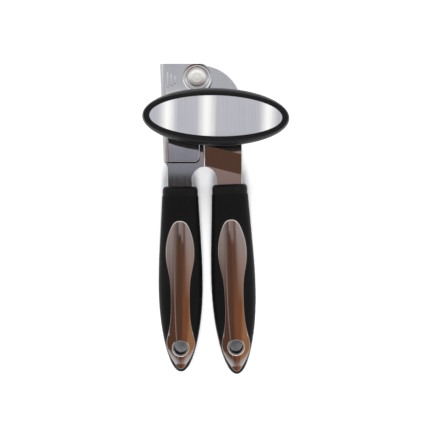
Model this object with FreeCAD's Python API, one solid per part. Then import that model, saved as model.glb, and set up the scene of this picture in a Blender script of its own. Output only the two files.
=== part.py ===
"""Manual can opener: two stainless arms on a pivot rivet, a geared feed wheel and
cutter wheel behind the head, an oval turning knob in front, and two soft black
grips with stainless inlays and hanging eyelets.

Everything is built round the pivot axis (x right, y towards the head's top, z
towards the knob, z = 0 on the plane the opener lies on) and is moved at the end
so that the origin is the middle of the footprint.  Millimetres.
"""
import FreeCAD, Part
import math
import os

V = FreeCAD.Vector
os.makedirs("parts", exist_ok=True)

# ---------------------------------------------------------------- dimensions
SHEET = 1.8                    # stainless sheet thickness
Z_BACK = 7.6                   # rear face of the back leaf and of both tangs
Z_FEED = 9.9                   # rear face of the feed arm in the head
Z_FLAP = 15.8                  # rear face of the folded front flap
FOLD_R = (Z_FLAP + SHEET - Z_BACK) / 2.0     # outer radius of the fold

FEED_C = (11.8, -27.1)         # knob, drive shaft and feed wheel axis
GEAR_CD = 15.1                 # distance between the two gear axes
CUT_C = (FEED_C[0] - GEAR_CD, FEED_C[1])     # cutter axis

SPLIT_L = 4.4                  # right edge of the frame arm
SPLIT_R = 4.8                  # left edge of the feed arm

PIVOT_R = 3.0                  # pivot rivet shank
RUN = 0.05                     # running clearance, radial
RIVET_HEAD_R = 5.75
RIVET_TOP = 18.75
DIMPLE_Z = 14.75               # rear face of the shallow dimple round the rivet

ARCH_C = (4.6, -63.4)          # round clearance between the arms
ARCH_R = 7.9

FOLD_TOP = (-24.7, 8.7)        # outer line of the fold
FOLD_BOT = (-22.45, -52.75)
FLAP_TOP_Y = 8.7
FLAP_BOT_Y = -52.75

HEAD_ARC_C = (1.76, -17.8)      # big round shoulder of the feed arm
HEAD_ARC_R = 26.5
JOG_DIR = math.radians(-14.3)  # direction of the joggle's bend lines
JOG_S0, JOG_S1 = 40.5, 50.4    # joggle start and end, measured from the pivot

GEAR_TEETH = 12
GEAR_RP = 7.5
GEAR_RA = 8.5
GEAR_RF = 5.95
GEAR_Z0, GEAR_Z1 = 12.2, 15.2
FEED_WHEEL_R = 7.2
FEED_TEETH = 20
FEED_Z0, FEED_Z1 = 4.4, 7.2
CUTTER_R = 10.0
CUT_Z0, CUT_Z1 = 1.7, 4.1

KNOB_A, KNOB_B = 44.2, 17.1   # half axes of the knob at its widest
KNOB_Z = 40.0                  # widest level, where shell and rim meet
KNOB_TOP = 48.1                # top of the rim at the middle
PLATE_A, PLATE_B = 39.8, 12.2
CROWN_R = 360.0                # bend radius of the knob's face
KNOB_TILT = -1.2               # degrees, resting angle of the knob

HANDLE_L = 121.0               # handle length before the per-side factor
STRETCH = {"left": 0.971, "right": 0.996}
HANDLE_Z = Z_BACK + SHEET / 2.0              # mid plane of the tangs
HOLE_T = {"left": 101.9, "right": 102.7}  # hanging hole, from the handle's top end
HOLE_R = 4.2
LEFT_TOP, LEFT_TILT = (-10.85, -68.0), 0.31
RIGHT_TOP, RIGHT_TILT = (20.55, -66.6), 2.27
COLLAR_T = 6.2                 # length of the bare end of the core

ORIGIN = (FEED_C[0], -89.076)    # middle of the footprint, from the pivot

# half width and half thickness of the handle against distance from its top end
PROFILE = [
    (0.0, 10.8, 6.1), (1.6, 11.25, 6.5), (6.2, 11.5, 6.75), (12.8, 11.85, 7.1),
    (23.0, 12.4, 7.6), (35.8, 13.1, 8.1), (48.0, 13.7, 8.4), (61.4, 14.0, 8.5),
    (74.2, 13.8, 8.35), (84.0, 13.1, 7.9), (92.0, 12.15, 7.3), (99.5, 10.8, 6.6),
    (106.0, 9.3, 5.9), (111.5, 7.6, 5.1), (116.0, 5.7, 4.2), (119.2, 3.6, 3.0),
    (120.6, 2.0, 1.9), (121.0, 1.1, 1.2),
]
# half width of the inlay's outline against distance from the handle's top end
INLAY = [
    (22.4, 0.0), (22.6, 1.7), (23.7, 3.6), (25.9, 5.2), (29.3, 6.7), (33.5, 8.0), (38.5, 8.9),
    (43.5, 9.15), (48.5, 8.8), (53.5, 7.9), (59.0, 6.8), (65.0, 6.15),
    (72.0, 5.9), (80.0, 5.95), (86.0, 6.3), (91.5, 7.1), (96.0, 8.1),
    (100.0, 8.9), (103.0, 9.1), (106.2, 8.5), (110.0, 7.0), (114.0, 4.9),
    (117.0, 2.9), (118.6, 1.2), (118.9, 0.0),
]


# ------------------------------------------------------------------- helpers
def face(points):
    pts = [V(*p) if len(p) == 3 else V(p[0], p[1], 0) for p in points]
    if (pts[0] - pts[-1]).Length > 1e-9:
        pts.append(pts[0])
    return Part.Face(Part.makePolygon(pts))


def prism(points, z0, z1):
    f = face([(p[0], p[1], z0) for p in points])
    return f.extrude(V(0, 0, z1 - z0))


def cyl(c, r, z0, z1):
    return Part.makeCylinder(r, z1 - z0, V(c[0], c[1], z0), V(0, 0, 1))


def turned(c, profile):
    """Solid of revolution about the vertical through c from (r, z) points."""
    pts = [V(c[0] + r, c[1], z) for r, z in profile]
    pts.append(pts[0])
    return Part.Face(Part.makePolygon(pts)).revolve(V(c[0], c[1], 0), V(0, 0, 1), 360)


def arc_pts(c, r, a0, a1, n):
    return [
        (c[0] + r * math.cos(math.radians(a0 + (a1 - a0) * i / n)),
         c[1] + r * math.sin(math.radians(a0 + (a1 - a0) * i / n)))
        for i in range(n + 1)
    ]


def outline(items):
    """Face from a list of ('p', point) corners and ('a', mid, end) arcs."""
    edges, here = [], None
    first = items[0][1]
    for it in items:
        if it[0] == "p":
            if here is not None and math.dist(here, it[1]) > 1e-7:
                edges.append(Part.makeLine(V(*here, 0), V(*it[1], 0)))
            here = it[1]
        else:
            edges.append(Part.Arc(V(*here, 0), V(*it[1], 0), V(*it[2], 0)).toShape())
            here = it[2]
    if math.dist(here, first) > 1e-7:
        edges.append(Part.makeLine(V(*here, 0), V(*first, 0)))
    return Part.Face(Part.Wire(edges))


def slab(f, z0, z1):
    g = f.copy()
    g.translate(V(0, 0, z0))
    return g.extrude(V(0, 0, z1 - z0))


def soften(shape, r, pick):
    """Fillet the edges that pick says, leaving out any that spoil the solid."""
    def attempt(edges):
        try:
            s = shape.makeFillet(r, edges)
            if s.isValid() and len(s.Solids) == 1 and 0 < s.Volume < shape.Volume * 1.001:
                return s
        except Exception:
            pass
        return None

    edges = sorted((e for e in shape.Edges if pick(e)), key=lambda e: -e.Length)
    best = attempt(edges) if edges else shape
    if best is not None:
        return best
    kept, best = [], shape
    for e in edges:
        s = attempt(kept + [e])
        if s is not None:
            kept, best = kept + [e], s
    return best


def one(shape):
    s = shape.removeSplitter()
    return s


def ellipse(a, b, z, c=FEED_C):
    e = Part.Ellipse(V(c[0], c[1], z), a, b)
    return Part.Wire([e.toShape()])


def loft(wires):
    return Part.makeLoft(wires, True, False)


# --------------------------------------------------------------- frame arm
def fold_frame():
    d = V(FOLD_BOT[0] - FOLD_TOP[0], FOLD_BOT[1] - FOLD_TOP[1], 0).normalize()
    u = V(-d.y, d.x, 0)            # across, to the right
    return d, u


def fold_axis_x(y):
    """x of the fold's bend centre at height y."""
    t = (y - FOLD_TOP[1]) / (FOLD_BOT[1] - FOLD_TOP[1])
    x = FOLD_TOP[0] + (FOLD_BOT[0] - FOLD_TOP[0]) * t
    return x + FOLD_R


def make_frame_arm():
    top, bot = FLAP_TOP_Y, FLAP_BOT_Y
    zc = Z_BACK + FOLD_R
    # the bend: half a tube along the fold, trimmed to the top and bottom edges
    d, u = fold_frame()
    start = V(fold_axis_x(top + 6), top + 6, zc)
    length = (top - bot + 12) / abs(d.y)
    outer = Part.makeCylinder(FOLD_R, length, start, d)
    inner = Part.makeCylinder(FOLD_R - SHEET, length, start, d)
    tube = outer.cut(inner)
    left = prism([(-60, top), (fold_axis_x(top), top), (fold_axis_x(bot), bot), (-60, bot)], 0, 30)
    bend = tube.common(left)
    # back leaf: arm plate from the pivot to the handle
    ax, bx = fold_axis_x(top), fold_axis_x(bot)
    tl = -18.9
    arch_top = (SPLIT_L, ARCH_C[1] + math.sqrt(ARCH_R ** 2 - (SPLIT_L - ARCH_C[0]) ** 2))
    arch_left = (ARCH_C[0] - ARCH_R, ARCH_C[1] - 0.4)
    am = math.radians(135)
    arch_mid = (ARCH_C[0] + ARCH_R * math.cos(am), ARCH_C[1] + ARCH_R * math.sin(am))
    rr = 3.2
    leaf = outline([
        ("p", (ax, top)),
        ("p", (0.0, top)),
        ("p", (3.2, top)),
        ("a", (8.2, 4.4), (9.2, 0.0)),
        ("a", (8.2, -4.6), (SPLIT_L + 1.2, -8.6)),
        ("a", (SPLIT_L + 0.3, -10.0), (SPLIT_L, -11.8)),
        ("p", arch_top),
        ("a", arch_mid, arch_left),
        ("p", (-3.0, -68.0)),
        ("p", (-18.7, -68.0)),
        ("p", (tl, bot - 4.0)),
        ("a", (tl - 0.45, bot - 1.9), (tl - 1.8, bot)),
        ("p", (bx, bot)),
    ])
    back = slab(leaf, Z_BACK, Z_BACK + SHEET)
    # front flap with its lobe round the pivot
    rc = 3.4
    edge = 1.95
    flap = outline([
        ("p", (ax, top)),
        ("p", (3.85, top)),
        ("a", (9.5 * math.cos(math.radians(20)), 9.5 * math.sin(math.radians(20))),
              (9.5 * math.cos(math.radians(-38)), 9.5 * math.sin(math.radians(-38)))),
        ("a", (4.6, -9.6), (edge + 0.35, -14.2)),
        ("p", (edge - 0.35, bot + rc)),
        ("a", (edge - 0.35 - rc * 0.2929, bot + rc * 0.2929), (edge - 0.35 - rc, bot)),
        ("p", (bx, bot)),
    ])
    z0, z1 = Z_FLAP, Z_FLAP + SHEET
    # column of the flap's outline with its front edges rounded; flap and dimple are cut from it
    column = soften(slab(flap, DIMPLE_Z - 1, z1), 0.6, lambda e: e.BoundBox.ZMin > z1 - 1e-6
                    and e.BoundBox.XMax > bx + 0.01 and e.BoundBox.YMax < top - 1e-6 or (e.BoundBox.ZMin > z1 - 1e-6
                    and e.BoundBox.XLength < 12 and e.BoundBox.XMin > 3.0))
    flat = column.common(Part.makeBox(60, 90, 20, V(-40, -70, z0))).cut(cyl((0, 0), 10.1, z0 - 1, z1 + 1))
    zf = DIMPLE_Z                  # shallow dimple, pressed back round the rivet
    cup = turned((0, 0), [
        (PIVOT_R, zf), (7.0, zf), (7.9, zf + 0.25), (8.8, z0 - 0.1), (9.4, z0), (11.4, z0), (11.4, z1), (8.9, z1),
        (8.3, z1 - 0.12), (7.3, zf + SHEET + 0.15), (6.8, zf + SHEET), (PIVOT_R, zf + SHEET),
    ])
    cup = cup.common(column)
    ribs = []
    for i, (h0, h1) in enumerate(((-4.6, 4.2), (-3.4, 3.0), (-2.2, 1.8))):
        x = -18.4 + 2.3 * i
        ribs.append(Part.makeBox(0.9, h1 - h0, 0.45, V(x - 0.45, h0 - 1.2, z1 - 0.15)))
        ribs.append(cyl((x, h0 - 1.2), 0.45, z1 - 0.15, z1 + 0.3))
        ribs.append(cyl((x, h1 - 1.2), 0.45, z1 - 0.15, z1 + 0.3))
    arm = back.fuse([bend, flat, cup])
    arm = one(arm)
    arm = arm.cut(cyl((0, 0), PIVOT_R, 0, 20))
    arm = arm.cut(cyl(CUT_C, 4.5, Z_BACK - 1, Z_BACK + SHEET + 1))
    arm = arm.cut(cyl(CUT_C, 2.5 + RUN, Z_FLAP - 1, Z_FLAP + SHEET + 1))

    def pick(e):
        b = e.BoundBox
        flat_edge = b.ZLength < 1e-6
        lvl = min(abs(b.ZMin - z) for z in (Z_BACK, Z_BACK + SHEET))
        if not flat_edge or lvl > 1e-6 or e.Length < 2.0:
            return False
        m = e.valueAt((e.FirstParameter + e.LastParameter) / 2)
        if m.Length < 16.5 and math.hypot(m.x, m.y) < 12.2:
            return False
        if b.ZMin > 15 and m.x < fold_axis_x(m.y) + 0.05:
            return False
        if b.ZMin < 10 and m.x < fold_axis_x(m.y) + 0.05 and m.y > bot - 0.5:
            return False
        if math.hypot(m.x - CUT_C[0], m.y - CUT_C[1]) < 5:
            return False
        return m.y > -66 and m.y < top - 0.2
    arm = soften(arm, 0.3, pick)
    arm = arm.fuse(ribs)
    # tang inside the handle
    tang = place_handle(tang_solid(), "left")
    arm = one(arm.fuse(tang))
    return arm


def tang_solid():
    """Tang in the handle's own frame: x across, y down the handle is negative."""
    pts = [(-7.6, 3.0), (7.6, 3.0), (7.6, -9.0), (5.6, -13.0), (5.4, -52.0), (4.6, -66.0),
           (2.4, -70.0), (-2.4, -70.0), (-4.6, -66.0), (-5.4, -52.0), (-5.6, -13.0), (-7.6, -9.0)]
    t = prism(pts, Z_BACK, Z_BACK + SHEET)
    t = t.cut(cyl((0, -30), 2.6, 0, 20))
    t = t.cut(cyl((0, -55), 2.6, 0, 20))
    return t


def place_handle(shape, side):
    (x, y), tilt = (LEFT_TOP, LEFT_TILT) if side == "left" else (RIGHT_TOP, RIGHT_TILT)
    s = shape.copy()
    s.rotate(V(0, 0, 0), V(0, 0, 1), tilt)
    s.translate(V(x, y, 0))
    return s


# ---------------------------------------------------------------- feed arm
def make_feed_arm():
    cx, cy = HEAD_ARC_C
    r = HEAD_ARC_R
    right = cx + r
    arch_top = (SPLIT_R, ARCH_C[1] + math.sqrt(ARCH_R ** 2 - (SPLIT_R - ARCH_C[0]) ** 2))
    arch_right = (ARCH_C[0] + ARCH_R, ARCH_C[1] - 0.4)
    am = math.radians(45)
    arch_mid = (ARCH_C[0] + ARCH_R * math.cos(am), ARCH_C[1] + ARCH_R * math.sin(am))
    lobe = 9.0
    a_top = math.radians(98)
    a45 = math.radians(45)
    join = (lobe * math.cos(math.radians(-70)), lobe * math.sin(math.radians(-70)))
    f = outline([
        ("p", (0.0, cy + math.sqrt(r * r - cx * cx))),
        ("a", (cx + r * math.cos(a45), cy + r * math.sin(a45)), (right, cy)),
        ("p", (right + 0.1, -60.0)),
        ("p", (28.2, -68.0)),
        ("p", (12.9, -68.0)),
        ("p", arch_right),
        ("a", arch_mid, arch_top),
        ("p", (SPLIT_R, -12.5)),
        ("a", (4.55, -10.4), join),
        ("a", (-lobe, 0.0), (lobe * math.cos(a_top), lobe * math.sin(a_top))),
    ])
    block = slab(f, -5, 30)
    # side profile with the joggle, swept along the bend lines
    n = V(math.sin(JOG_DIR), -math.cos(JOG_DIR), 0)      # down the arm
    e = V(math.cos(JOG_DIR), math.sin(JOG_DIR), 0)       # along the bend lines
    h, t = Z_FEED, Z_BACK

    def at(s, z):
        return V(n.x * s, n.y * s, z) - e * 80.0
    blend = 1.3
    lower = [(-40, h), (JOG_S0 - blend, h), (JOG_S0 + blend, h - (h - t) * blend * 0.5 / (JOG_S1 - JOG_S0) * 1.4),
             (JOG_S1 - blend, t + (h - t) * blend * 0.5 / (JOG_S1 - JOG_S0) * 1.4), (JOG_S1 + blend, t), (110, t)]
    upper = [(s, z + SHEET) for s, z in lower]
    # curved through the bends
    def edge_chain(pts):
        out = []
        p = [at(*q) for q in pts]
        out.append(Part.makeLine(p[0], p[1]))
        c0 = Part.BSplineCurve()
        c0.buildFromPoles([p[1], at(JOG_S0, pts[1][1]), p[2]], False, 2)
        out.append(c0.toShape())
        out.append(Part.makeLine(p[2], p[3]))
        c1 = Part.BSplineCurve()
        c1.buildFromPoles([p[3], at(JOG_S1, pts[4][1]), p[4]], False, 2)
        out.append(c1.toShape())
        out.append(Part.makeLine(p[4], p[5]))
        return out, p
    # place the sloping line so that both bends are smooth
    slope = (t - h) / (JOG_S1 - JOG_S0)
    lower = [(-40, h), (JOG_S0 - blend, h), (JOG_S0 + blend, h + slope * blend),
             (JOG_S1 - blend, t - slope * blend), (JOG_S1 + blend, t), (110, t)]
    upper = [(s, z + SHEET) for s, z in lower]
    lo, lp = edge_chain(lower)
    up, upp = edge_chain(upper)
    wire = Part.Wire(Part.__sortEdges__(lo + up + [Part.makeLine(lp[0], upp[0]), Part.makeLine(lp[-1], upp[-1])]))
    sheet = Part.Face(wire).extrude(e * 160.0)
    arm = sheet.common(block)
    arm = arm.cut(cyl((0, 0), PIVOT_R + RUN, 0, 20))
    arm = arm.cut(cyl(FEED_C, 5.2, 0, 20))

    def pick(ed):
        if ed.Length < 4.0:
            return False
        m = ed.valueAt((ed.FirstParameter + ed.LastParameter) / 2)
        b = ed.BoundBox
        if math.hypot(m.x, m.y) < 8.5 or m.y < -66.0:
            return False
        if math.hypot(m.x - FEED_C[0], m.y - FEED_C[1]) < 6:
            return False
        return b.ZLength < 1e-6 and (abs(b.ZMin - Z_FEED) < 1e-6 or abs(b.ZMin - Z_FEED - SHEET) < 1e-6)
    arm = soften(arm, 0.3, pick)
    tang = place_handle(tang_solid(), "right")
    return one(arm.fuse(tang))


# ----------------------------------------------------------------- handles
def section(t, a, h, n=2.35, count=40):
    pts = []
    for i in range(count):
        w = 2 * math.pi * i / count
        c, s = math.cos(w), math.sin(w)
        x = a * math.copysign(abs(c) ** (2 / n), c)
        z = h * math.copysign(abs(s) ** (2 / n), s)
        pts.append(V(x, -t, HANDLE_Z + z))
    c = Part.BSplineCurve()
    c.interpolate(Points=pts, PeriodicFlag=True)
    return Part.Wire([c.toShape()])


def width_at(t):
    t = min(max(t, 0.0), HANDLE_L)
    for (t0, a0, h0), (t1, a1, h1) in zip(PROFILE, PROFILE[1:]):
        if t0 <= t <= t1:
            k = (t - t0) / (t1 - t0)
            return a0 + (a1 - a0) * k, h0 + (h1 - h0) * k
    return PROFILE[-1][1:]


def body_loft(t0, t1, k):
    rows = [(t0,) + width_at(t0 / k)] + [(t * k, a, h) for t, a, h in PROFILE if t0 + 0.8 < t * k < t1 + 0.01]
    return loft([section(t, a, h) for t, a, h in rows])


def top_half(t, a, h, drop):
    """Closed section: the grip's front surface, cut off flat below its middle."""
    pts = []
    for i in range(23):
        w = math.pi * i / 22
        c, s = math.cos(w), math.sin(w)
        pts.append(V(a * math.copysign(abs(c) ** (2 / 2.35), c), -t, HANDLE_Z + h * abs(s) ** (2 / 2.35)))
    c = Part.BSplineCurve()
    c.interpolate(Points=pts)
    z = HANDLE_Z - drop
    return Part.Wire([c.toShape(), Part.makeLine(pts[-1], V(-a, -t, z)), Part.makeLine(V(-a, -t, z), V(a, -t, z)),
                      Part.makeLine(V(a, -t, z), pts[0])])


def make_handle(side):
    k = STRETCH[side]
    hole_t = HOLE_T[side]
    body = body_loft(COLLAR_T, HANDLE_L * k, k)
    # inlay: a bent sheet let into the front
    proud, thick = 0.45, 1.0
    over = loft([top_half(t * k, a, h + proud, 2.0) for t, a, h in PROFILE if 18 < t < 120.8])
    under = loft([top_half(t * k, a, h + proud - thick, 4.0) for t, a, h in PROFILE if 12 < t])
    loop = [V(w, -t * k, 0) for t, w in INLAY] + [V(-w, -t * k, 0) for t, w in reversed(INLAY[1:-1])]
    rim = Part.BSplineCurve()
    rim.interpolate(Points=loop, PeriodicFlag=True)
    plan = Part.Face(Part.Wire([rim.toShape()]))
    block = slab(plan, HANDLE_Z + 0.4, 30)
    inlay = over.common(block).cut(under)
    # core: inner moulding round the tang, with a bare collar at the head end
    collar = loft([section(0.0, 9.6, 4.6), section(0.9, 10.75, 5.85), section(2.2, 11.15, 6.35),
                   section(COLLAR_T, 11.25, 6.5)])
    core = loft([section(COLLAR_T - 0.01, 9.0, 4.6), section(40, 10.2, 5.4), section(80, 9.8, 5.2),
                 section(96.0, 8.2, 4.2), section(111.0, 5.2, 2.6)])
    core = collar.fuse(core)
    tang = tang_solid()
    bore = cyl((0, -hole_t), HOLE_R, -5, 40)
    core = core.cut(tang).cut(bore)
    grip = body.cut(core.fuse(tang)).cut(inlay).cut(bore)
    # eyelet: flanged tube set in the front of the hole
    a, h = width_at(hole_t / k)
    zt = HANDLE_Z + h + proud
    rf = HOLE_R + 1.25
    eye = turned((0, -hole_t), [
        (HOLE_R, zt - 8.4), (HOLE_R + 0.6, zt - 8.4), (HOLE_R + 0.6, zt - 0.25), (rf, zt - 0.35),
        (rf, zt + 0.0), (rf - 0.3, zt + 0.28), (HOLE_R + 0.45, zt + 0.3), (HOLE_R, zt + 0.05),
    ])
    seat = cyl((0, -hole_t), rf, zt - 1.6, 40)
    land = cyl((0, -hole_t), rf, zt - 1.6, zt - 0.36).cut(cyl((0, -hole_t), HOLE_R + 0.6, 0, 40))
    grip = biggest(grip.cut(seat).cut(eye))
    core = core.cut(eye)
    inlay = one(inlay.cut(cyl((0, -hole_t), rf, 0, 40)).fuse(land.cut(eye)))
    return {k: place_handle(s, side) for k, s in
            (("handle_core", core), ("grip", grip), ("inlay", inlay), ("eyelet", eye))}


def biggest(shape):
    solids = sorted(shape.Solids, key=lambda s: -s.Volume)
    return solids[0]


# ------------------------------------------------------------------- gears
def gear(c, z0, z1, phase, bore):
    rp, ra, rf = GEAR_RP, GEAR_RA, GEAR_RF
    pa = math.radians(20)
    rb = rp * math.cos(pa)
    back = 0.34
    inv = lambda x: math.tan(x) - x
    half = math.pi / (2 * GEAR_TEETH) - back / (2 * rp)

    def psi(r):
        al = math.acos(min(1.0, rb / r))
        return half + inv(pa) - inv(al)
    rs = [rb + (ra - rb) * i / 5.0 for i in range(6)]
    pts = []
    pitch = 2 * math.pi / GEAR_TEETH
    for k in range(GEAR_TEETH):
        m = math.radians(phase) + k * pitch
        root_half = psi(rb) - 0.02
        flank = [(rf, root_half + 0.05), (rf + 0.35, root_half)] + [(r, psi(r)) for r in rs]
        for r, p in flank:
            pts.append((c[0] + r * math.cos(m - p), c[1] + r * math.sin(m - p)))
        for r, p in reversed(flank):
            pts.append((c[0] + r * math.cos(m + p), c[1] + r * math.sin(m + p)))
    g = prism(pts, z0, z1)
    # chamfered tips, as on a stamped gear
    cone = turned(c, [(0, z0 - 0.01), (ra - 0.45, z0 - 0.01), (ra + 0.1, z0 + 0.5), (ra + 0.1, z1 - 0.5),
                      (ra - 0.45, z1 + 0.01), (0, z1 + 0.01)])
    return g.common(cone).cut(cyl(c, bore, z0 - 1, z1 + 1))


def make_feed_wheel():
    c = FEED_C
    ro, ri = FEED_WHEEL_R, FEED_WHEEL_R - 1.0
    pts = []
    for k in range(FEED_TEETH):
        for f, r in ((0.0, ri), (0.34, ro), (0.52, ro), (0.86, ri)):
            a = 2 * math.pi * (k + f) / FEED_TEETH
            pts.append((c[0] + r * math.cos(a), c[1] + r * math.sin(a)))
    w = prism(pts, FEED_Z0, FEED_Z1)
    cone = turned(c, [(0, FEED_Z0 - 0.01), (ro - 0.6, FEED_Z0 - 0.01), (ro + 0.1, FEED_Z0 + 0.7),
                      (ro + 0.1, FEED_Z1 - 0.25), (ro - 0.15, FEED_Z1 + 0.01), (0, FEED_Z1 + 0.01)])
    return w.common(cone).cut(cyl(c, 3.0, 0, 20))


def make_cutter_wheel():
    c = CUT_C
    return turned(c, [
        (2.2, CUT_Z0), (7.4, CUT_Z0), (CUTTER_R - 0.05, CUT_Z1 - 0.22), (CUTTER_R, CUT_Z1 - 0.06), (CUTTER_R - 0.06, CUT_Z1),
        (5.2, CUT_Z1), (4.7, CUT_Z1 + 0.4), (4.7, 6.5), (2.2, 6.5),
    ])


def make_cutter_shaft():
    c = CUT_C
    z1 = Z_FLAP + SHEET
    return turned(c, [
        (0, 2.6), (2.2, 2.6), (2.2, 6.5), (3.0, 6.5), (3.0, GEAR_Z1), (2.5, GEAR_Z1), (2.5, z1 + 0.05),
        (4.1, z1 + 0.05), (4.1, z1 + 0.7), (3.5, z1 + 1.15), (0, z1 + 1.3),
    ])


def make_cutter_screw():
    c = CUT_C
    s = turned(c, [(0, 0.0), (4.6, 0.0), (5.1, 0.5), (5.1, CUT_Z0), (2.2, CUT_Z0), (2.2, 2.6), (0, 2.6)])
    slot = Part.makeBox(8.0, 1.2, 0.9, V(c[0] - 4.0, c[1] - 0.6, -0.1))
    slot.rotate(V(c[0], c[1], 0), V(0, 0, 1), 35)
    return s.cut(slot)


def make_drive_shaft():
    c = FEED_C
    s = turned(c, [
        (0, 3.0), (2.7, 3.0), (3.4, 3.5), (3.4, FEED_Z0), (3.0, FEED_Z0), (3.0, FEED_Z1), (3.5, FEED_Z1 + 0.05),
        (3.5, 15.9), (3.5, 17.4), (0, 17.4),
    ])
    sq = Part.makeBox(5.0, 5.0, 21.0, V(c[0] - 2.5, c[1] - 2.5, 17.0))
    s = s.fuse(sq)
    s.rotate(V(c[0], c[1], 0), V(0, 0, 1), KNOB_TILT)
    return one(s.cut(cyl(c, 1.7, 29.0, 40.0)))


# -------------------------------------------------------------------- knob
def crown(z_mid, depth):
    """Block whose top is the knob's crowned face through z_mid."""
    c = FEED_C
    cylr = Part.makeCylinder(CROWN_R, 120, V(c[0], c[1] - 60, z_mid - CROWN_R), V(0, 1, 0))
    box = Part.makeBox(120, 60, depth + 6, V(c[0] - 60, c[1] - 30, z_mid - depth))
    return box.common(cylr)


def make_knob():
    c = FEED_C
    a, b, zk = KNOB_A, KNOB_B, KNOB_Z
    # lower shell
    outer = loft([ellipse(36.5, 10.6, 31.4), ellipse(40.0, 13.6, 32.2), ellipse(42.6, 15.8, 34.2),
                  ellipse(44.0, 17.05, 37.2), ellipse(a, b, zk)])
    inner = loft([ellipse(38.0, 11.6, 33.8), ellipse(41.2, 14.4, 36.0), ellipse(41.9, 14.95, zk + 0.01)])
    hub = turned(c, [(0, 16.1), (7.3, 16.1), (7.9, 16.7), (7.9, 26.5), (8.3, 29.0), (9.2, 30.8), (10.4, 31.9), (10.4, 33.0), (0, 33.0)])
    boss = cyl(c, 7.0, 32.0, 38.0)
    shell = outer.cut(inner).fuse(hub).fuse(boss)
    shell = shell.cut(cyl(c, 3.5, 15.0, 17.4))
    sq = Part.makeBox(5.0, 5.0, 22.0, V(c[0] - 2.5, c[1] - 2.5, 17.0))
    shell = one(shell.cut(sq))
    # rim: upper bezel that holds the face plate
    ro = loft([ellipse(a, b, zk), ellipse(44.25, 17.3, 42.3), ellipse(43.6, 16.6, 44.6), ellipse(42.7, 15.6, 46.3),
               ellipse(41.5, 14.3, 47.6), ellipse(40.5, 13.2, 48.3)])
    ro = ro.common(crown(KNOB_TOP, 20))
    ri = loft([ellipse(41.9, 14.95, zk - 0.01), ellipse(41.6, 14.6, 43.0)])
    window = loft([ellipse(PLATE_A - 1.9, PLATE_B - 1.9, zk), ellipse(PLATE_A - 1.9, PLATE_B - 1.9, 50)])
    seat = loft([ellipse(PLATE_A, PLATE_B, 38), ellipse(PLATE_A, PLATE_B, 52)])
    below = crown(KNOB_TOP - 0.5 - 0.9, 30)
    seat_top = seat.cut(below)
    rim = one(ro.cut(ri).cut(window).cut(seat_top))
    plate = seat.common(crown(KNOB_TOP - 0.5, 20)).cut(below)
    plate = biggest(plate)
    screw = turned(c, [(0, 29.4), (1.7, 29.4), (1.7, 38.0), (3.9, 38.0), (3.9, 39.0), (3.2, 40.2), (0, 40.4)])
    cross = Part.makeBox(4.4, 0.9, 1.4, V(c[0] - 2.2, c[1] - 0.45, 39.2)).fuse(
        Part.makeBox(0.9, 4.4, 1.4, V(c[0] - 0.45, c[1] - 2.2, 39.2)))
    screw = screw.cut(cross)
    out = {"knob_shell": shell, "knob_rim": rim, "knob_face_plate": plate, "knob_screw": screw}
    for s in out.values():
        s.rotate(V(c[0], c[1], 0), V(0, 0, 1), KNOB_TILT)
    return out


# ------------------------------------------------------------------ assembly
parts = {}
parts["frame_arm"] = make_frame_arm()
parts["feed_arm"] = make_feed_arm()

zf = DIMPLE_Z + SHEET
parts["pivot_rivet"] = turned((0, 0), [
    (0, 5.9), (3.6, 6.0), (4.9, 6.5), (5.2, 7.1), (5.2, Z_BACK), (PIVOT_R, Z_BACK), (PIVOT_R, zf), (RIVET_HEAD_R - 0.15, zf),
    (RIVET_HEAD_R, zf + 0.15), (RIVET_HEAD_R, RIVET_TOP - 0.9), (RIVET_HEAD_R - 0.25, RIVET_TOP - 0.45),
    (RIVET_HEAD_R - 0.9, RIVET_TOP - 0.2), (3.2, RIVET_TOP - 0.05), (0, RIVET_TOP)])
parts["pivot_washer"] = turned((0, 0), [
    (PIVOT_R + RUN, Z_BACK + SHEET + 0.02), (8.0, Z_BACK + SHEET + 0.02), (8.0, Z_FEED - 0.05), (PIVOT_R + RUN, Z_FEED - 0.05)])

parts["pivot_spacer"] = turned((0, 0), [
    (PIVOT_R + RUN, Z_FEED + SHEET + RUN), (6.2, Z_FEED + SHEET + RUN), (6.5, Z_FEED + SHEET + RUN + 0.3), (6.5, DIMPLE_Z - 0.3),
    (6.2, DIMPLE_Z), (PIVOT_R + RUN, DIMPLE_Z)])

parts["shaft_bushing"] = turned(FEED_C, [
    (3.5 + RUN, FEED_Z1 + 0.2), (6.6, FEED_Z1 + 0.2), (6.9, FEED_Z1 + 0.5), (6.9, Z_FEED), (5.2, Z_FEED), (5.2, 12.05),
    (3.5 + RUN, 12.05)])
parts["cutter_bushing"] = turned(CUT_C, [
    (3.0 + RUN, 6.6), (5.4, 6.6), (5.6, 6.8), (5.6, Z_BACK), (4.5, Z_BACK), (4.5, 12.05), (3.0 + RUN, 12.05)])

parts["drive_shaft"] = make_drive_shaft()
parts["drive_gear"] = gear(FEED_C, GEAR_Z0, GEAR_Z1, 180.0, 3.5)
parts["feed_wheel"] = make_feed_wheel()
parts["knob_washer"] = turned(FEED_C, [(3.5, 15.25), (7.0, 15.25), (7.0, 16.05), (3.5, 16.05)])
parts.update(make_knob())

parts["cutter_shaft"] = make_cutter_shaft()
parts["cutter_gear"] = gear(CUT_C, GEAR_Z0, GEAR_Z1, 180.0 / GEAR_TEETH, 3.0)
parts["cutter_wheel"] = make_cutter_wheel()
parts["cutter_screw"] = make_cutter_screw()

for side in ("left", "right"):
    for name, s in make_handle(side).items():
        parts[side + "_" + name] = s

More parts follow.
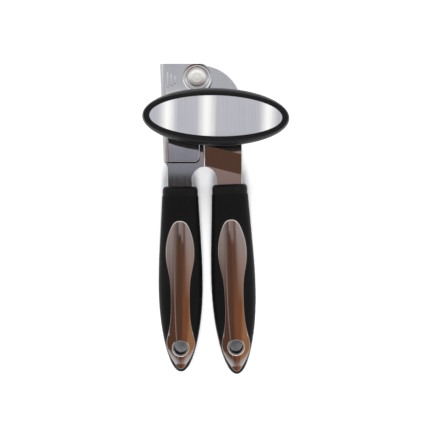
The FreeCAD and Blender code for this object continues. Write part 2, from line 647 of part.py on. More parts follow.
box = None
for name, s in parts.items():
    s.translate(V(-ORIGIN[0], -ORIGIN[1], 0))
    if len(s.Solids) == 1:
        s = s.Solids[0]
    assert s.isValid(), name
    s.exportStep("parts/%s.step" % name)
    b = s.BoundBox
    if box is None:
        box = FreeCAD.BoundBox(b)
    else:
        box.add(b)
    print("%-20s solids %d  faces %3d  vol %9.1f  z %6.2f %6.2f" % (name, len(s.Solids), len(s.Faces), s.Volume, b.ZMin, b.ZMax))
print("box", [round(v, 3) for v in (box.XMin, box.XMax, box.YMin, box.YMax, box.ZMin, box.ZMax)])
print("pivot", (-ORIGIN[0], -ORIGIN[1]), "feed", (FEED_C[0] - ORIGIN[0], FEED_C[1] - ORIGIN[1]),
      "cutter", (CUT_C[0] - ORIGIN[0], CUT_C[1] - ORIGIN[1]))
for side, (x, y), tilt in (("left", LEFT_TOP, LEFT_TILT), ("right", RIGHT_TOP, RIGHT_TILT)):
    t = math.radians(tilt)
    print(side, "hole", (round(x + HOLE_T[side] * math.sin(t) - ORIGIN[0], 4),
                         round(y - HOLE_T[side] * math.cos(t) - ORIGIN[1], 4)))
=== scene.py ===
import math

import bmesh
import bpy
import numpy as np
from mathutils import Matrix, Vector


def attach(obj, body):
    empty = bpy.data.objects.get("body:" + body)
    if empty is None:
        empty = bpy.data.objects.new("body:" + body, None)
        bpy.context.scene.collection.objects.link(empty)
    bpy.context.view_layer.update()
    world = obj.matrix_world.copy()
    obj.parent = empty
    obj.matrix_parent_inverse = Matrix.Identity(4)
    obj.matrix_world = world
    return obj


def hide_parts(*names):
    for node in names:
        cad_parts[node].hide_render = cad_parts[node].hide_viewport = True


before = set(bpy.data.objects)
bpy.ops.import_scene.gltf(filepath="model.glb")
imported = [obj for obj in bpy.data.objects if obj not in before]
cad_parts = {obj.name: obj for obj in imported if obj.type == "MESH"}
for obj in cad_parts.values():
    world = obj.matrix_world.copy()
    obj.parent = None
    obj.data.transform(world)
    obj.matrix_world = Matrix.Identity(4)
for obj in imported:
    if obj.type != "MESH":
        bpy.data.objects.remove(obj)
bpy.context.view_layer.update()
scene = bpy.context.scene
MM = 0.001

# ------------------------------------------------------------------ numbers
# the same driving sizes as the CAD source, in millimetres
ORIGIN = (11.8, -89.076)
HANDLE_Z = 8.5
STRETCH = {"left": 0.971, "right": 0.996}
TOP = {"left": (-10.85, -68.0, 0.31), "right": (20.55, -66.6, 2.27)}
HOLE_T = {"left": 101.9, "right": 102.7}
HOLE_R = 4.2
PROFILE = [
    (0.0, 10.8, 6.1), (1.6, 11.25, 6.5), (6.2, 11.5, 6.75), (12.8, 11.85, 7.1),
    (23.0, 12.4, 7.6), (35.8, 13.1, 8.1), (48.0, 13.7, 8.4), (61.4, 14.0, 8.5),
    (74.2, 13.8, 8.35), (84.0, 13.1, 7.9), (92.0, 12.15, 7.3), (99.5, 10.8, 6.6),
    (106.0, 9.3, 5.9), (111.5, 7.6, 5.1), (116.0, 5.7, 4.2), (119.2, 3.6, 3.0),
    (120.6, 2.0, 1.9), (121.0, 1.1, 1.2),
]
INLAY = [
    (22.4, 0.0), (22.6, 1.7), (23.7, 3.6), (25.9, 5.2), (29.3, 6.7), (33.5, 8.0), (38.5, 8.9),
    (43.5, 9.15), (48.5, 8.8), (53.5, 7.9), (59.0, 6.8), (65.0, 6.15),
    (72.0, 5.9), (80.0, 5.95), (86.0, 6.3), (91.5, 7.1), (96.0, 8.1),
    (100.0, 8.9), (103.0, 9.1), (106.2, 8.5), (110.0, 7.0), (114.0, 4.9),
    (117.0, 2.9), (118.6, 1.2), (118.9, 0.0),
]
N_SEC = 2.35


# --------------------------------------------------------------- node tools
class Mat:
    """Short hand for building a node material."""

    def __init__(self, name):
        self.m = bpy.data.materials.new(name)
        self.m.use_nodes = True
        self.t = self.m.node_tree
        self.t.nodes.clear()
        self.out = self.t.nodes.new("ShaderNodeOutputMaterial")
        self.b = self.t.nodes.new("ShaderNodeBsdfPrincipled")
        self.t.links.new(self.b.outputs[0], self.out.inputs[0])
        self.coord = self.t.nodes.new("ShaderNodeTexCoord").outputs["Object"]

    def set(self, **kw):
        for k, v in kw.items():
            self.b.inputs[k.replace("_", " ")].default_value = v
        return self

    def link(self, a, b):
        self.t.links.new(a, b)

    def mapping(self, scale=(1, 1, 1), rot=(0, 0, 0), loc=(0, 0, 0), src=None):
        n = self.t.nodes.new("ShaderNodeMapping")
        n.inputs["Scale"].default_value = scale
        n.inputs["Rotation"].default_value = rot
        n.inputs["Location"].default_value = loc
        self.link(src or self.coord, n.inputs["Vector"])
        return n.outputs[0]

    def noise(self, vec, scale, detail=3.0, rough=0.55, distort=0.0):
        n = self.t.nodes.new("ShaderNodeTexNoise")
        n.inputs["Scale"].default_value = scale
        n.inputs["Detail"].default_value = detail
        n.inputs["Roughness"].default_value = rough
        n.inputs["Distortion"].default_value = distort
        self.link(vec, n.inputs["Vector"])
        return n.outputs["Fac"]

    def ramp(self, fac, stops):
        n = self.t.nodes.new("ShaderNodeValToRGB")
        e = n.color_ramp.elements
        while len(e) > 1:
            e.remove(e[-1])
        for i, (p, c) in enumerate(stops):
            el = e[0] if i == 0 else e.new(p)
            el.position = p
            el.color = (c[0], c[1], c[2], 1.0)
        self.link(fac, n.inputs["Fac"])
        return n.outputs["Color"]

    def remap(self, fac, lo, hi, a=0.0, b=1.0):
        n = self.t.nodes.new("ShaderNodeMapRange")
        n.inputs["From Min"].default_value = a
        n.inputs["From Max"].default_value = b
        n.inputs["To Min"].default_value = lo
        n.inputs["To Max"].default_value = hi
        self.link(fac, n.inputs["Value"])
        return n.outputs["Result"]

    def math(self, op, a, b=None):
        n = self.t.nodes.new("ShaderNodeMath")
        n.operation = op
        for i, v in enumerate((a, b)):
            if v is None:
                continue
            if isinstance(v, (int, float)):
                n.inputs[i].default_value = v
            else:
                self.link(v, n.inputs[i])
        return n.outputs[0]

    def mix(self, fac, a, b, blend="MIX"):
        n = self.t.nodes.new("ShaderNodeMix")
        n.data_type = "RGBA"
        n.blend_type = blend
        for sock, v in ((n.inputs["Factor"], fac), (n.inputs[6], a), (n.inputs[7], b)):
            if isinstance(v, (int, float)):
                sock.default_value = v
            elif isinstance(v, tuple):
                sock.default_value = (v[0], v[1], v[2], 1.0)
            else:
                self.link(v, sock)
        return n.outputs[2]

    def bump(self, height, strength, distance, prev=None):
        n = self.t.nodes.new("ShaderNodeBump")
        n.inputs["Strength"].default_value = strength
        n.inputs["Distance"].default_value = distance
        self.link(height, n.inputs["Height"])
        if prev is not None:
            self.link(prev, n.inputs["Normal"])
        self.link(n.outputs[0], self.b.inputs["Normal"])
        return n.outputs[0]

    def axis(self, which, src=None):
        n = self.t.nodes.new("ShaderNodeSeparateXYZ")
        self.link(src or self.coord, n.inputs[0])
        return n.outputs[which]

    def radius(self, cx, cy):
        """Distance from the vertical through (cx, cy), in metres."""
        v = self.mapping(loc=(-cx, -cy, 0.0))
        s = self.t.nodes.new("ShaderNodeSeparateXYZ")
        self.link(v, s.inputs[0])
        return self.math("SQRT", self.math("ADD", self.math("MULTIPLY", s.outputs[0], s.outputs[0]),
                                           self.math("MULTIPLY", s.outputs[1], s.outputs[1])))

    def wear(self, lo=0.52, hi=0.62):
        n = self.t.nodes.new("ShaderNodeNewGeometry")
        return self.remap(n.outputs["Pointiness"], 0.0, 1.0, lo, hi)


def brushed(name, tint=(0.64, 0.64, 0.65), along="y", rough=(0.2, 0.34), grain=1.0, contrast=0.09):
    """Rolled and brushed stainless sheet: fine streaks along one axis, soft cloudy tone."""
    k = Mat(name)
    k.set(Metallic=1.0, Anisotropic=0.35)
    s = (2600, 40, 400) if along == "y" else (40, 2600, 400)
    fine = k.noise(k.mapping(s), 1.0, 4.0, 0.6)
    s2 = (700, 14, 200) if along == "y" else (14, 700, 200)
    broad = k.noise(k.mapping(s2), 1.0, 3.0, 0.6)
    cloud = k.noise(k.coord, 34.0, 3.0, 0.5)
    f = k.math("ADD", k.math("MULTIPLY", fine, 0.5), k.math("ADD", k.math("MULTIPLY", broad, 0.3), k.math("MULTIPLY", cloud, 0.2)))
    lo = tuple(c * (1 - contrast) for c in tint)
    hi = tuple(min(1.0, c * (1 + contrast)) for c in tint)
    base = k.ramp(f, [(0.34, lo), (0.66, hi)])
    base = k.mix(k.wear(), base, tuple(min(1.0, c * 1.04) for c in tint))
    k.link(base, k.b.inputs["Base Color"])
    k.link(k.remap(f, rough[0], rough[1], 0.35, 0.65), k.b.inputs["Roughness"])
    k.bump(fine, 0.10 * grain, 0.00002)
    return k.m


def turned_steel(name, tint, centre, rough=(0.22, 0.38), pitch=9000.0, depth=0.16):
    """Machined steel with fine rings about a vertical axis."""
    k = Mat(name)
    k.set(Metallic=1.0)
    r = k.radius(*centre)
    w = k.t.nodes.new("ShaderNodeTexNoise")
    w.noise_dimensions = "1D"
    k.link(k.math("MULTIPLY", r, pitch), w.inputs["W"])
    w.inputs["Scale"].default_value = 1.0
    w.inputs["Detail"].default_value = 2.0
    cloud = k.noise(k.coord, 120.0, 3.0, 0.6)
    f = k.math("ADD", k.math("MULTIPLY", w.outputs["Fac"], 0.6), k.math("MULTIPLY", cloud, 0.4))
    base = k.ramp(f, [(0.3, tuple(c * 0.86 for c in tint)), (0.7, tuple(min(1, c * 1.08) for c in tint))])
    base = k.mix(k.wear(), base, tuple(min(1.0, c * 1.25) for c in tint))
    k.link(base, k.b.inputs["Base Color"])
    k.link(k.remap(f, rough[0], rough[1], 0.3, 0.7), k.b.inputs["Roughness"])
    k.bump(w.outputs["Fac"], depth, 0.00002)
    return k.m


def polished(name, tint, rough=(0.06, 0.14), along="y", bore=None, side=None):
    """Polished steel with faint drawing lines; bore=(x, y, radius) is left dull and painted dark within that
    radius, a painted shade with some dirt down the hole, and
    side is a painted shade: the dark tone painted where the sheet turns down steeply at its edge."""
    k = Mat(name)
    k.set(Metallic=1.0)
    s = (1500, 22, 300) if along == "y" else (22, 1500, 300)
    fine = k.noise(k.mapping(s), 1.0, 3.0, 0.55)
    cloud = k.noise(k.coord, 60.0, 2.0, 0.5)
    f = k.math("ADD", k.math("MULTIPLY", fine, 0.65), k.math("MULTIPLY", cloud, 0.35))
    base = k.ramp(f, [(0.3, tuple(c * 0.93 for c in tint)), (0.7, tuple(min(1.0, c * 1.05) for c in tint))])
    gloss = k.remap(f, rough[0], rough[1], 0.3, 0.7)
    if side is not None:
        # painted shade: the side tone is painted where the sheet turns down steeply, by the slope of its normal
        g = k.t.nodes.new("ShaderNodeNewGeometry")
        painted_edge_shade = k.remap(k.axis(2, g.outputs["Normal"]), 1.0, 0.0, 0.79, 0.87)
        base = k.mix(painted_edge_shade, base, side)
    if bore is not None:
        # painted shade with some dirt: the eyelet's hole is painted dark and dull within the given radius
        inside = k.remap(k.radius(bore[0], bore[1]), 1.0, 0.0, bore[2], bore[2] + 0.25 * MM)
        base = k.mix(inside, base, (0.035, 0.032, 0.03))
        gloss = k.math("MAXIMUM", gloss, k.math("MULTIPLY", inside, 0.6))
    k.link(base, k.b.inputs["Base Color"])
    k.link(gloss, k.b.inputs["Roughness"])
    k.bump(fine, 0.05, 0.00002)
    return k.m


def plastic(name, tint, rough, grain_scale, grain, sheen=0.0, spec=0.5):
    """Moulded plastic or rubber: fine pebbled grain, soft blotches in gloss."""
    k = Mat(name)
    k.set(Specular_IOR_Level=spec)
    if sheen:
        k.set(Sheen_Weight=sheen, Sheen_Roughness=0.45)
    g = k.noise(k.coord, grain_scale, 3.0, 0.6)
    cloud = k.noise(k.coord, 45.0, 4.0, 0.6)
    f = k.math("ADD", k.math("MULTIPLY", g, 0.45), k.math("MULTIPLY", cloud, 0.55))
    base = k.ramp(f, [(0.32, tuple(c * 0.8 for c in tint)), (0.68, tuple(c * 1.25 for c in tint))])
    base = k.mix(k.wear(), base, tuple(c * 2.2 for c in tint))
    k.link(base, k.b.inputs["Base Color"])
    k.link(k.remap(f, rough[0], rough[1], 0.3, 0.7), k.b.inputs["Roughness"])
    k.bump(g, grain, 0.00006)
    return k.m


# ---------------------------------------------------------------- materials
PIV = (-11.8 * MM, 89.076 * MM)
FEED = (0.0, 61.976 * MM)
CUT = (-15.1 * MM, 61.976 * MM)

M_ARM = brushed("arm_brushed_steel", (0.66, 0.66, 0.67), rough=(0.035, 0.065), grain=0.35, contrast=0.06)
M_RIVET = turned_steel("rivet_nickel", (0.95, 0.945, 0.91), PIV, (0.24, 0.36), 5200.0, 0.2)
M_GEAR = turned_steel("gear_steel", (0.5, 0.5, 0.5), FEED, (0.26, 0.42))
M_CGEAR = turned_steel("cutter_gear_steel", (0.5, 0.5, 0.5), CUT, (0.26, 0.42))
M_SHAFT = turned_steel("shaft_steel", (0.58, 0.58, 0.58), FEED, (0.2, 0.34))
M_CSHAFT = turned_steel("cutter_shaft_steel", (0.6, 0.6, 0.6), CUT, (0.2, 0.34))
M_WHEEL = turned_steel("feed_wheel_steel", (0.46, 0.46, 0.465), FEED, (0.28, 0.45))
M_BLADE = turned_steel("cutter_wheel_steel", (0.7, 0.7, 0.71), CUT, (0.1, 0.24), 7000.0, 0.2)
M_BRONZE = turned_steel("bushing_bronze", (0.55, 0.40, 0.2), FEED, (0.3, 0.45))
M_PLATE = polished("knob_plate_polished", (0.80, 0.80, 0.81), (0.025, 0.06), along="y")
# the inlay's warm brownish tint is partly painted reflection of a brown room, and side is a painted shade on its
# steeply turned-down edges
M_INLAY = polished("inlay_polished", (0.67, 0.62, 0.585), (0.04, 0.09), along="y", side=(0.12, 0.09, 0.078))
# bore is a painted shade with some dirt down the eyelet holes
M_EYE_L = polished("left_eyelet_polished", (0.74, 0.73, 0.72), (0.08, 0.16), bore=(-22.099 * MM, -80.823 * MM, 4.3 * MM))
M_EYE_R = polished("right_eyelet_polished", (0.74, 0.73, 0.72), (0.08, 0.16), bore=(12.818 * MM, -80.143 * MM, 4.3 * MM))
M_RIM = plastic("knob_black_plastic", (0.004, 0.004, 0.0044), (0.26, 0.36), 2600.0, 0.1, spec=0.12)
M_CORE = plastic("collar_black_plastic", (0.005, 0.005, 0.0055), (0.34, 0.46), 2600.0, 0.12, spec=0.14)
M_GRIP = plastic("grip_soft_black", (0.0035, 0.0035, 0.0038), (0.4, 0.52), 1900.0, 0.2, sheen=0.0, spec=0.1)

LOOK = {
    "frame_arm": M_ARM, "feed_arm": M_ARM, "pivot_rivet": M_RIVET, "pivot_washer": M_SHAFT,
    "shaft_bushing": M_BRONZE, "cutter_bushing": M_BRONZE, "drive_shaft": M_SHAFT, "drive_gear": M_GEAR,
    "feed_wheel": M_WHEEL, "knob_washer": M_SHAFT, "knob_shell": M_RIM, "knob_rim": M_RIM,
    "knob_face_plate": M_PLATE, "knob_screw": M_SHAFT, "cutter_shaft": M_CSHAFT, "cutter_gear": M_CGEAR,
    "cutter_wheel": M_BLADE, "cutter_screw": M_CSHAFT,
    "left_handle_core": M_CORE, "left_grip": M_GRIP, "left_inlay": M_INLAY, "left_eyelet": M_EYE_L,
    "right_handle_core": M_CORE, "right_grip": M_GRIP, "right_inlay": M_INLAY, "right_eyelet": M_EYE_R,
}
for node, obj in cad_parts.items():
    obj.data.materials.clear()
    obj.data.materials.append(LOOK.get(node, M_SHAFT))


# ------------------------------------------------------------ shape helpers
def pchip(xs, ys):
    """Monotone cubic through the points, as a function of one number or an array."""
    xs, ys = np.asarray(xs, float), np.asarray(ys, float)
    h, d = np.diff(xs), np.diff(ys) / np.diff(xs)
    m = np.zeros_like(ys)
    m[0], m[-1] = d[0], d[-1]
    for i in range(1, len(xs) - 1):
        if d[i - 1] * d[i] > 0:
            w1, w2 = 2 * h[i] + h[i - 1], h[i] + 2 * h[i - 1]
            m[i] = (w1 + w2) / (w1 / d[i - 1] + w2 / d[i])

    def f(x):
        x = np.clip(np.asarray(x, float), xs[0], xs[-1])
        i = np.clip(np.searchsorted(xs, x) - 1, 0, len(h) - 1)
        t = (x - xs[i]) / h[i]
        return ((2 * t**3 - 3 * t**2 + 1) * ys[i] + (t**3 - 2 * t**2 + t) * h[i] * m[i]
                + (-2 * t**3 + 3 * t**2) * ys[i + 1] + (t**3 - t**2) * h[i] * m[i + 1])
    return f


def spline(xs, ys):
    """Natural cubic spline through the points."""
    xs, ys = np.asarray(xs, float), np.asarray(ys, float)
    n = len(xs)
    h = np.diff(xs)
    A = np.zeros((n, n)); r = np.zeros(n)
    A[0, 0] = A[-1, -1] = 1.0
    for i in range(1, n - 1):
        A[i, i - 1], A[i, i], A[i, i + 1] = h[i - 1], 2 * (h[i - 1] + h[i]), h[i]
        r[i] = 6 * ((ys[i + 1] - ys[i]) / h[i] - (ys[i] - ys[i - 1]) / h[i - 1])
    M = np.linalg.solve(A, r)

    def f(x):
        x = np.clip(np.asarray(x, float), xs[0], xs[-1])
        i = np.clip(np.searchsorted(xs, x) - 1, 0, n - 2)
        a, b = xs[i + 1] - x, x - xs[i]
        return (M[i] * a**3 + M[i + 1] * b**3) / (6 * h[i]) + (ys[i] / h[i] - M[i] * h[i] / 6) * a \
            + (ys[i + 1] / h[i] - M[i + 1] * h[i] / 6) * b
    return f


T_ = [p[0] for p in PROFILE[:-3]]
half_w = spline(T_, [p[1] for p in PROFILE[:-3]])
half_h = spline(T_, [p[2] for p in PROFILE[:-3]])


def top_z(x, t, lift):
    """Front surface of the grip, raised by lift, at x across and t along, in mm."""
    a, h = half_w(t), half_h(t) + lift
    q = np.clip(np.abs(x) / a, 0, 0.995)
    return HANDLE_Z + h * (1 - q**N_SEC) ** (1 / N_SEC)


def sheet_z(x, t):
    """Top of the steel sheet: it follows the grip, but is bowed less round the hanging hole, where it stands a little proud."""
    t = min(max(t, 0.0), 118.9)
    z = float(top_z(x, t, 0.45))
    s = min(max((t - 80.0) / 16.0, 0.0), 1.0)
    s = s * s * (3 - 2 * s)
    if s > 0:
        w = max(float(np.interp(t, [p[0] for p in INLAY], [p[1] for p in INLAY])), 3.0)
        bowed = HANDLE_Z + float(half_h(t)) + 0.45 - 0.40 / (2 * w) * x * x
        z += s * max(0.0, bowed - z)
    return z


def to_row(side, x, y, z):
    """From the handle's own frame in mm to the row frame in metres."""
    px, py, tilt = TOP[side]
    a = math.radians(tilt)
    X = x * math.cos(a) - y * math.sin(a) + px - ORIGIN[0]
    Y = x * math.sin(a) + y * math.cos(a) + py - ORIGIN[1]
    return Vector((X * MM, Y * MM, z * MM))


def new_piece(name, bm, mat, smooth=True):
    me = bpy.data.meshes.new(name)
    bm.normal_update()
    bm.to_mesh(me)
    bm.free()
    if smooth:
        for p in me.polygons:
            p.use_smooth = True
    me.materials.append(mat)
    o = bpy.data.objects.new(name, me)
    scene.collection.objects.link(o)
    return o


def make_inlay(side):
    """The steel inlay: a sheet bowed over the grip, its edge rolled down into the rubber."""
    k = STRETCH[side]
    ts = np.array([p[0] for p in INLAY]); ws = np.array([p[1] for p in INLAY])
    # outline by arc length so that both ends stay round
    arc = np.concatenate([[0], np.cumsum(np.hypot(np.diff(ts), np.diff(ws)))])
    ft, fw = spline(arc, ts), spline(arc, ws)
    nu, nv = 150, 18
    s = np.linspace(0, arc[-1], nu)
    tt, ww = ft(s), np.maximum(fw(s), 0.0)
    bm = bmesh.new()
    hole = HOLE_T[side]
    rows = []
    rings = [1.0, 0.985, 0.955, 0.91] + list(np.linspace(0.85, 0.0, nv - 4))
    t_mid = (ts[0] + ts[-1]) / 2
    for j, f in enumerate(rings):
        row_r, row_l = [], []
        for i in range(nu):
            # spine point that the outline point shrinks towards
            lo, hi = ts[0] + 5.0, ts[-1] - 6.0
            ct = min(max(tt[i], lo), hi)
            t = ct + (tt[i] - ct) * f
            x = ww[i] * f
            row_r.append((x, t)); row_l.append((-x, t))
        rows.append((row_r, row_l, f))
    edge = 0.42
    grid = {}
    for sgn in (1, -1):
        for j, (rr, ll, f) in enumerate(rows):
            pts = rr if sgn > 0 else ll
            for i, (x, t) in enumerate(pts):
                z = sheet_z(x, t)
                # distance in from the outline drives the rolled edge
                d = (1 - f) * max(ww[i], 4.0)
                if d < edge:
                    z -= 0.17 * (1 - math.sqrt(max(0.0, 1 - (1 - d / edge) ** 2)))
                grid[(sgn, j, i)] = bm.verts.new(to_row(side, x, -t * k, z))
    nj = len(rows)
    # skirt that goes down into the grip
    for sgn in (1, -1):
        for i in range(nu):
            x, t = rows[0][0 if sgn > 0 else 1][i]
            z = float(top_z(x, min(max(t, 0.0), 118.9), 0.45)) - 1.25
            grid[(sgn, -1, i)] = bm.verts.new(to_row(side, x, -t * k, z))
    for sgn in (1, -1):
        for j in range(-1, nj - 1):
            for i in range(nu - 1):
                q = [grid[(sgn, j, i)], grid[(sgn, j + 1, i)], grid[(sgn, j + 1, i + 1)], grid[(sgn, j, i + 1)]]
                if sgn > 0:
                    q.reverse()
                try:
                    bm.faces.new(q)
                except ValueError:
                    pass
    bmesh.ops.remove_doubles(bm, verts=bm.verts, dist=2e-6)
    bmesh.ops.dissolve_degenerate(bm, edges=bm.edges, dist=1e-6)
    # open the sheet where the eyelet goes through
    hc = to_row(side, 0.0, -hole, 0.0)
    gone = [v for v in bm.verts if math.hypot(v.co.x - hc.x, v.co.y - hc.y) < 4.75 * MM]
    bmesh.ops.delete(bm, geom=gone, context="VERTS")
    bmesh.ops.recalc_face_normals(bm, faces=bm.faces)
    up = sum(f.normal.z * f.calc_area() for f in bm.faces)
    if up < 0:
        bmesh.ops.reverse_faces(bm, faces=bm.faces)
    o = new_piece(side + "_inlay_sheet", bm, M_INLAY)
    return o


for side, body in (("left", "frame"), ("right", "feed_lever")):
    o = make_inlay(side)
    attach(o, body)
    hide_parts(side + "_inlay")


def make_ribs():
    """Three short pressed ribs with round tops on the upper left of the head."""
    bm = bmesh.new()
    flat = 17.6
    for i, (h0, h1) in enumerate(((-4.6, 4.2), (-3.4, 3.0), (-2.2, 1.8))):
        cx = -18.4 + 2.3 * i - ORIGIN[0]
        y0, y1 = h0 - 1.2 - ORIGIN[1], h1 - 1.2 - ORIGIN[1]
        r, n, m = 0.56, 12, 16
        ring = []
        # rows from the rim up to the crest; each row is a stadium outline
        for a in np.linspace(0, math.pi / 2, 7)[:-1]:
            rr, z = r * math.cos(a), flat + 0.42 * math.sin(a)
            row = []
            for q in range(n + 1):
                t = math.pi * q / n
                row.append((cx + rr * math.cos(t), y1 + rr * math.sin(t), z))
            for q in range(n + 1):
                t = math.pi + math.pi * q / n
                row.append((cx + rr * math.cos(t), y0 + rr * math.sin(t), z))
            ring.append([bm.verts.new(Vector(p) * MM) for p in row])
        for lo, hi in zip(ring[:-1], ring[1:]):
            for q in range(len(lo)):
                q2 = (q + 1) % len(lo)
                bm.faces.new((lo[q], lo[q2], hi[q2], hi[q]))
        crest = [bm.verts.new(Vector((cx, y, flat + 0.42)) * MM) for y in (y1, y0)]
        top = ring[-1]
        for q in range(n):
            bm.faces.new((top[q], top[q + 1], crest[0]))
            bm.faces.new((top[n + 1 + q], top[n + 2 + q], crest[1]))
        bm.faces.new((top[n], top[n + 1], crest[1], crest[0]))
        bm.faces.new((top[2 * n + 1], top[0], crest[0], crest[1]))
        skirt = [bm.verts.new(v.co - Vector((0, 0, 0.12 * MM))) for v in ring[0]]
        for q in range(len(skirt)):
            q2 = (q + 1) % len(skirt)
            bm.faces.new((skirt[q], skirt[q2], ring[0][q2], ring[0][q]))
    bmesh.ops.recalc_face_normals(bm, faces=bm.faces)
    if sum(f.normal.z * f.calc_area() for f in bm.faces) < 0:
        bmesh.ops.reverse_faces(bm, faces=bm.faces)
    return new_piece("head_ribs", bm, M_ARM)


o = make_ribs()
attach(o, "frame")


# -------------------------------------------------------------------- stage
def floor():
    bm = bmesh.new()
    s = 3.0
    vs = [bm.verts.new((x, y, -0.00002)) for x, y in ((-s, -s), (s, -s), (s, s), (-s, s))]
    bm.faces.new(vs)
    k = Mat("floor_paper")
    k.set(Specular_IOR_Level=0.2)
    n = k.noise(k.coord, 3.0, 2.0, 0.5)
    k.link(k.ramp(n, [(0.3, (0.93, 0.93, 0.93)), (0.7, (0.95, 0.95, 0.95))]), k.b.inputs["Base Color"])
    k.set(Roughness=0.9)
    o = new_piece("floor", bm, k.m, smooth=False)
    return o


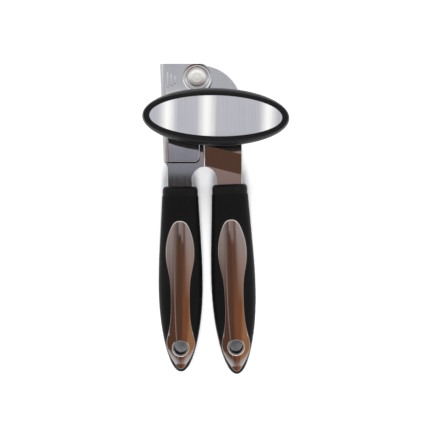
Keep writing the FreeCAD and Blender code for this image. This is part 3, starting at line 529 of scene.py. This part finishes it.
def dome():
    """A studio shell that only shiny surfaces see, painting their reflections: pale overhead with bright strips,
    painted warm wood-brown reflections towards the handle end.  u and v are the sideways and lengthways slopes of
    the direction looked in."""
    bm = bmesh.new()
    bmesh.ops.create_uvsphere(bm, u_segments=96, v_segments=48, radius=2.6)
    bmesh.ops.delete(bm, geom=[f for f in bm.faces if f.calc_center_median().z < -0.02], context="FACES")
    m = bpy.data.materials.new("studio_shell")
    m.use_nodes = True
    k = Mat.__new__(Mat)
    k.m, k.t = m, m.node_tree
    k.t.nodes.clear()
    k.out = k.t.nodes.new("ShaderNodeOutputMaterial")
    k.coord = k.t.nodes.new("ShaderNodeTexCoord").outputs["Object"]
    em = k.t.nodes.new("ShaderNodeEmission")
    k.t.links.new(em.outputs[0], k.out.inputs[0])
    s = k.t.nodes.new("ShaderNodeSeparateXYZ")
    k.link(k.coord, s.inputs[0])
    z = k.math("MAXIMUM", s.outputs[2], 0.02)
    u0 = k.math("ARCTANGENT", k.math("DIVIDE", s.outputs[0], z))
    v = k.math("ARCTANGENT", k.math("DIVIDE", s.outputs[1], z))
    # a little waviness so that reflections are not ruled lines
    wav = k.noise(k.mapping((0.5, 1.4, 0.5)), 1.3, 2.0, 0.5)
    u = k.math("ADD", u0, k.math("MULTIPLY", k.math("SUBTRACT", wav, 0.5), 0.035))
    deg = math.pi / 180.0

    def over(src, stops):
        lo, hi = stops[0][0], stops[-1][0]
        f = k.remap(src, 0.0, 1.0, lo * deg, hi * deg)
        return k.ramp(f, [((p - lo) / (hi - lo), c) for p, c in stops])

    def fade(src, a0, a1):
        """0 at a0 degrees, 1 at a1."""
        if a0 < a1:
            return k.remap(src, 0.0, 1.0, a0 * deg, a1 * deg)
        return k.remap(src, 1.0, 0.0, a1 * deg, a0 * deg)

    def patch(u_a, u_b, v_a, v_b, soft=0.3):
        """1 inside a box of directions, with soft sides."""
        m1 = k.math("MULTIPLY", fade(u0, u_a - soft, u_a + soft), fade(u0, u_b + soft, u_b - soft))
        m2 = k.math("MULTIPLY", fade(v, v_a - soft, v_a + soft), fade(v, v_b + soft, v_b - soft))
        return k.math("MULTIPLY", m1, m2)
    # handle side, painted reflections: grey beside, brown in the middle, and wood-brown right across towards the
    # handle ends
    upper = over(u, [(-90, GREY), (-25, GREY), (-6, DARK_WOOD_REFLECTION), (5, DARK_WOOD_REFLECTION), (14, GREY), (90, GREY)])
    lower = over(u, [(-90, DARK_WOOD_REFLECTION), (-16, DARK_WOOD_REFLECTION), (-14, GREY), (-12, DARK_WOOD_REFLECTION), (-1, DARK_WOOD_REFLECTION), (3, WOOD_REFLECTION),
                     (16, WOOD_REFLECTION), (26, PALE_WOOD_REFLECTION), (90, PALE_WOOD_REFLECTION)])
    col = k.mix(fade(v, 4.0, -10.0), upper, lower)
    # painted reflection for the flat steel below the knob: dim on the left, warm on the right, and a painted dark
    # reflection at the foot
    low = k.mix(fade(u0, -1.0, -0.6), DIM, k.mix(0.5, WOOD_REFLECTION, GREY))
    low = k.mix(k.math("MULTIPLY", fade(v, 3.2, 3.0), fade(u0, -0.6, -1.0)), low, SHADE)
    col = k.mix(patch(-4.8, 4.8, 2.0, 9.0, 0.3), col, low)
    # pale overhead, with three soft bright strips lengthways
    pale = over(u, [(-90, PALE), (-15, PALE), (-12.5, BRIGHT), (-10, PALE), (-5, PALE), (-2.5, BRIGHT), (0, PALE),
                    (11, PALE), (13.5, BRIGHT), (16, PALE), (90, PALE)])
    col = k.mix(fade(v, 5.4, 5.8), col, pale)
    col = k.mix(fade(v, 9.0, 9.4), col, PALE)
    col = k.mix(fade(v, 12.0, 16.0), col, BRIGHT)
    col = k.mix(fade(v, 24.0, 36.0), col, PALE)
    # the painted wood-brown reflection stops well short of the floor line
    col = k.mix(fade(v, -32.0, -42.0), col, PALE)
    # low round the horizon it is plain pale grey
    rr = k.math("SQRT", k.math("ADD", k.math("MULTIPLY", s.outputs[0], s.outputs[0]), k.math("MULTIPLY", s.outputs[1], s.outputs[1])))
    down = k.math("ARCTANGENT", k.math("DIVIDE", rr, z))
    col = k.mix(fade(down, 50.0, 60.0), col, (0.75, 0.75, 0.75))
    k.link(col, em.inputs["Color"])
    em.inputs["Strength"].default_value = 1.0
    o = new_piece("studio_shell", bm, m)
    o.visible_camera = False
    o.visible_diffuse = False
    o.visible_shadow = False
    o.visible_transmission = False
    o.visible_volume_scatter = False
    return o


# the few tones of the studio shell; the wood-brown tones and the shade are painted reflections
BRIGHT = (1.3, 1.3, 1.25)
PALE = (0.6, 0.6, 0.65)
GREY = (0.4, 0.35, 0.35)
DIM = (0.3, 0.3, 0.35)
SHADE = (0.05, 0.05, 0.05)
WOOD_REFLECTION = (0.25, 0.1, 0.05)
DARK_WOOD_REFLECTION = (0.12, 0.06, 0.04)
PALE_WOOD_REFLECTION = (0.4, 0.2, 0.1)


def aim(o, target):
    d = Vector(target) - o.location
    o.rotation_euler = d.to_track_quat("-Z", "Y").to_euler()


def area(name, loc, size, energy, target=(0, 0, 0), colour=(1, 1, 1)):
    l = bpy.data.lights.new(name, "AREA")
    l.shape = "RECTANGLE"
    l.size, l.size_y = size
    l.energy = energy
    l.color = colour
    o = bpy.data.objects.new(name, l)
    scene.collection.objects.link(o)
    o.location = loc
    aim(o, target)
    o.visible_glossy = False
    return o


floor()
dome()
w = bpy.data.worlds.new("studio")
scene.world = w
w.use_nodes = True
w.node_tree.nodes["Background"].inputs[0].default_value = (0.93, 0.95, 1.0, 1)
w.node_tree.nodes["Background"].inputs[1].default_value = 0.5

# two soft lights in line with the handles reach the paper between them
area("key_low", (0.05, -1.25, 1.15), (0.5, 1.0), 25.0)
area("key_high", (-0.05, 1.25, 1.15), (0.5, 1.0), 23.0)
area("side_left", (-1.2, 0.1, 0.9), (0.4, 1.2), 4.0)
area("side_right", (1.2, 0.1, 0.9), (0.4, 1.2), 4.0)

# ------------------------------------------------------------------- camera
cam = bpy.data.cameras.new("camera")
cam.lens = 77.79
cam.sensor_width = 36.0
cam.clip_start = 0.01
cam.dof.use_dof = False
co = bpy.data.objects.new("camera", cam)
scene.collection.objects.link(co)
co.location = (-0.00048, 0.002966, 0.600)
co.rotation_euler = (0, 0, 0)
scene.camera = co
scene.view_settings.view_transform = "Standard"
